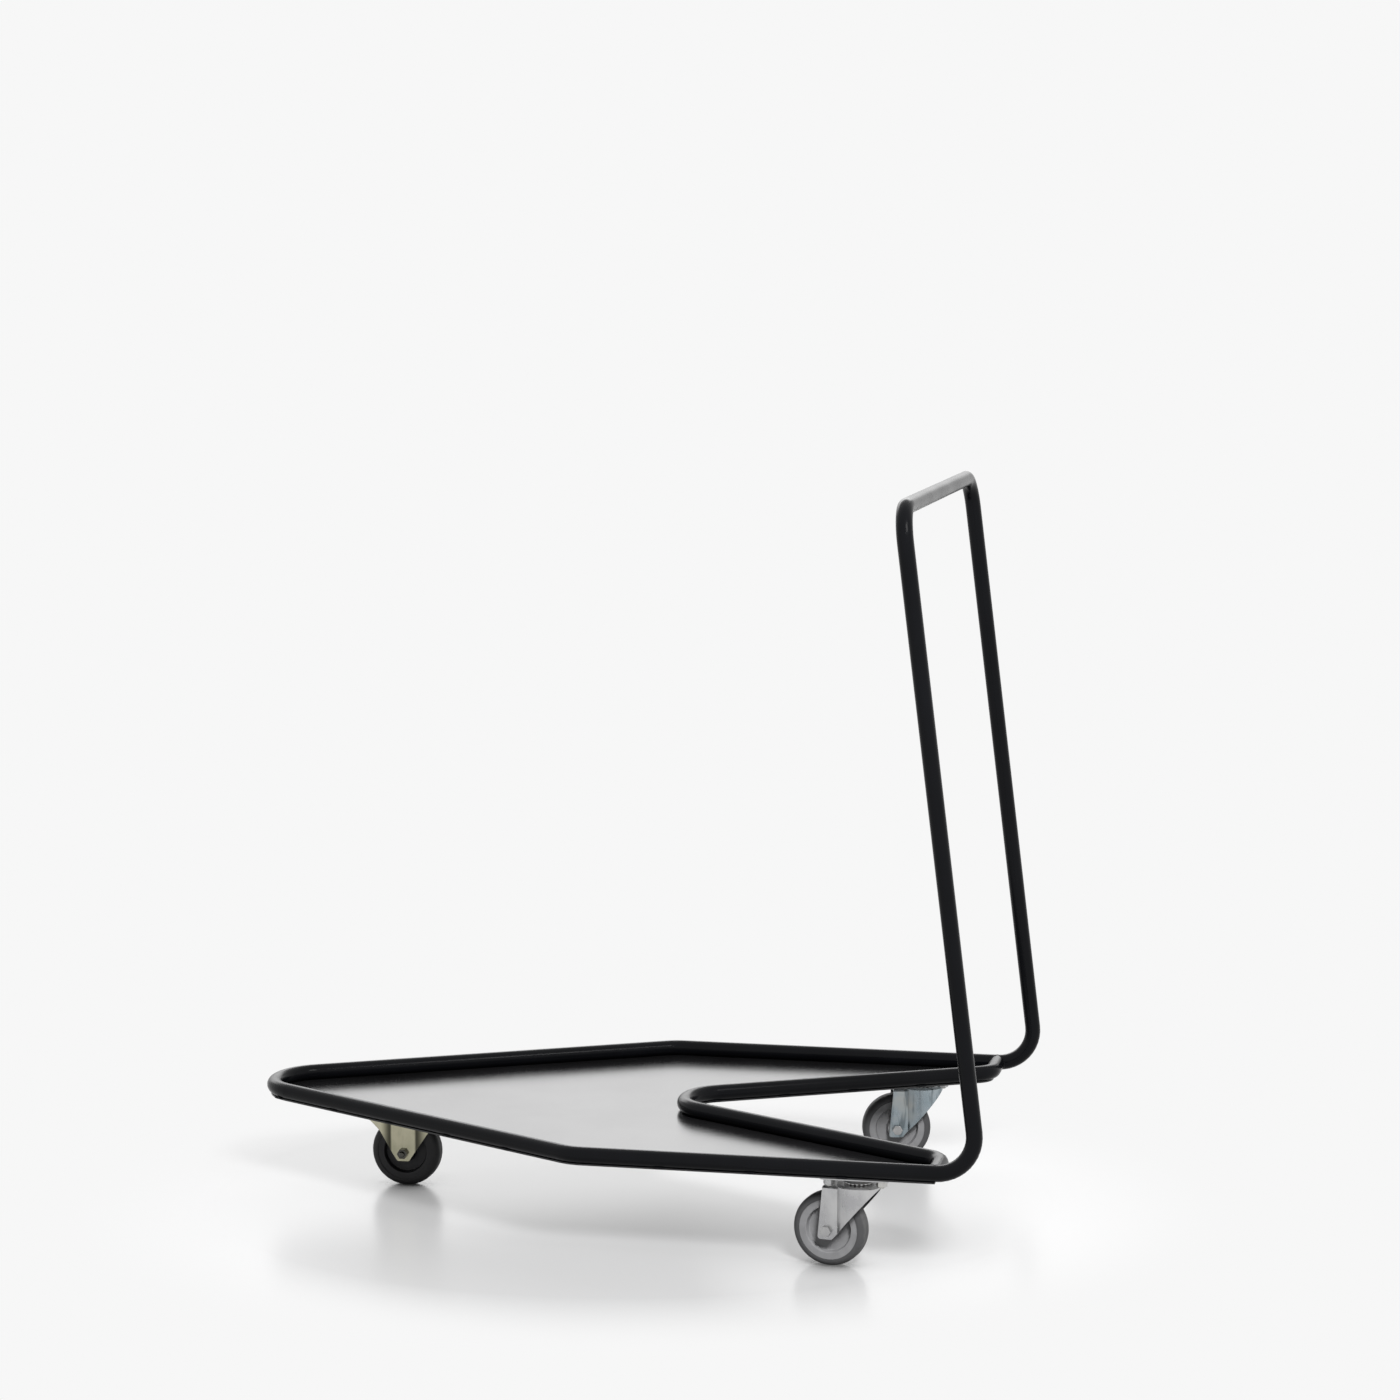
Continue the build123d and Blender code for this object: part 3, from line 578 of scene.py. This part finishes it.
# Stage
def lamp(name, azimuth, elevation, distance, width, height, power, mirrored):
    """A soft panel that shines at the middle of the tray, shown in gloss or not."""
    light = bpy.data.lights.new(name, "AREA")
    light.shape = "RECTANGLE"
    light.size = width
    light.size_y = height
    light.energy = power
    panel = bpy.data.objects.new(name, light)
    bpy.context.scene.collection.objects.link(panel)
    across = distance * cos(elevation)
    panel.location = VIEW_CENTRE + Vector((
        across * sin(azimuth),
        -across * cos(azimuth),
        distance * sin(elevation),
    ))
    panel.rotation_euler = (VIEW_CENTRE - panel.location).to_track_quat("-Z", "Y").to_euler()
    panel.visible_camera = False
    panel.visible_glossy = mirrored


def make_world():
    """White backdrop for the camera and for gloss, soft light from all round, and a lit panel behind."""
    world = bpy.data.worlds.new("studio")
    bpy.context.scene.world = world
    recipe = Recipe(world)
    direction = recipe.add("ShaderNodeTexCoord").outputs["Generated"]
    height = recipe.add("ShaderNodeSeparateXYZ", {0: direction}).outputs[2]
    sideways = recipe.size(recipe.sum(recipe.along(direction, RIGHT_SIDE), PANEL_LEFT))
    panel = recipe.product(
        recipe.span(height, PANEL_LOW, PANEL_HIGH, *PANEL_RISE),
        recipe.span(height, 1, 0, *PANEL_TOP),
        recipe.span(sideways, 1, 0, *PANEL_SIDES),
        recipe.span(recipe.along(direction, FAR_SIDE), 0, 1, *PANEL_FACING),
    )
    rays = recipe.add("ShaderNodeLightPath").outputs
    room = recipe.choose(rays["Is Glossy Ray"], AMBIENT, BACKDROP)
    seen = recipe.sum(rays["Is Camera Ray"], rays["Is Transmission Ray"], "MAXIMUM")
    strength = recipe.choose(seen, recipe.sum(panel, room, "MAXIMUM"), BACKDROP)
    recipe.fill(recipe.tree.nodes["Background"], {"Color": (1, 1, 1, 1), "Strength": strength})


def make_floor():
    """Pale half-gloss floor that keeps the shadows and fades into the backdrop further out."""
    mesh = bpy.data.meshes.new("floor")
    shape = bmesh.new()
    bmesh.ops.create_circle(shape, cap_ends=True, segments=FLOOR_SIDES, radius=FLOOR_RADIUS)
    shape.to_mesh(mesh)
    shape.free()
    floor = bpy.data.objects.new("floor", mesh)
    bpy.context.scene.collection.objects.link(floor)
    recipe = Surface("floor")
    across = recipe.along(recipe.place, RIGHT_SIDE)
    away = recipe.along(recipe.place, FAR_SIDE)
    parts = {0: recipe.sum(across, FADE_WIDTH, "DIVIDE"), 1: recipe.sum(away, FADE_DEPTH, "DIVIDE")}
    oval = recipe.add("ShaderNodeCombineXYZ", parts).outputs[0]
    reach = recipe.length(oval)
    rays = recipe.add("ShaderNodeLightPath").outputs
    open_air = recipe.free_air(SHADE_REACH)
    # Painted shade: close to things that touch the floor, its colour and its glow both darken
    painted_contact_shade = recipe.span(recipe.free_air(CONTACT_REACH), CONTACT_SHADE, 1, *CONTACT_AIR)
    # Painted light and shade: the floor near the object glows a little, which lifts its shadows, and
    # glows less where it is covered
    painted_glow_share = recipe.product(painted_contact_shade, recipe.span(open_air, FADE_LEAST, FADE_OPEN, start=0, end=1))
    outer = recipe.span(reach, 0, 1, start=FADE_START, end=1)
    fade = recipe.sum(outer, painted_glow_share, "MAXIMUM")
    strength = recipe.choose(rays["Is Diffuse Ray"], BACKDROP, FLOOR_BOUNCE)
    glow = recipe.add("ShaderNodeEmission", {"Color": (1, 1, 1, 1), "Strength": strength})
    # Painted shadow: the floor's colour goes toward black where it is closely covered
    colour = recipe.mix(painted_contact_shade, (0, 0, 0), FLOOR_COLOUR)
    recipe.shade({"Base Color": colour, "Roughness": FLOOR_ROUGHNESS, "Specular IOR Level": FLOOR_GLOSS})
    blend = recipe.add("ShaderNodeMixShader", {0: fade, 1: recipe.shader.outputs[0], 2: glow.outputs[0]})
    recipe.fill(recipe.tree.nodes["Material Output"], {"Surface": blend.outputs[0]})
    mesh.materials.append(recipe.owner)


def make_camera():
    """Camera at the photograph's place, level and a little turned down."""
    camera = bpy.data.objects.new("camera", bpy.data.cameras.new("camera"))
    bpy.context.scene.collection.objects.link(camera)
    camera.data.lens = VIEW_LENS
    camera.data.clip_end = 100
    level = Vector((sin(VIEW_AZIMUTH), -cos(VIEW_AZIMUTH), 0))
    camera.location = VIEW_CENTRE + VIEW_DISTANCE * level + Vector((0, 0, VIEW_HEIGHT))
    back = cos(VIEW_PITCH) * level + Vector((0, 0, sin(VIEW_PITCH)))
    camera.rotation_euler = (-back).to_track_quat("-Z", "Y").to_euler()
    bpy.context.scene.camera = camera


make_world()
make_floor()
make_camera()
lamp(
    "front_softbox", azimuth=VIEW_AZIMUTH + radians(16), elevation=radians(39), distance=3.6,
    width=0.8, height=0.7, power=158, mirrored=False,
)
lamp(
    "front_fill", azimuth=VIEW_AZIMUTH - radians(20), elevation=radians(20), distance=4.0,
    width=3.0, height=2.0, power=4, mirrored=False,
)
lamp(
    "back_softbox", azimuth=VIEW_AZIMUTH + pi, elevation=radians(45), distance=3.5,
    width=2.4, height=1.6, power=30, mirrored=False,
)
lamp(
    "side_softbox", azimuth=radians(137), elevation=radians(50), distance=2.5,
    width=0.5, height=0.5, power=7, mirrored=True,
)
bpy.context.scene.view_settings.view_transform = "Standard"
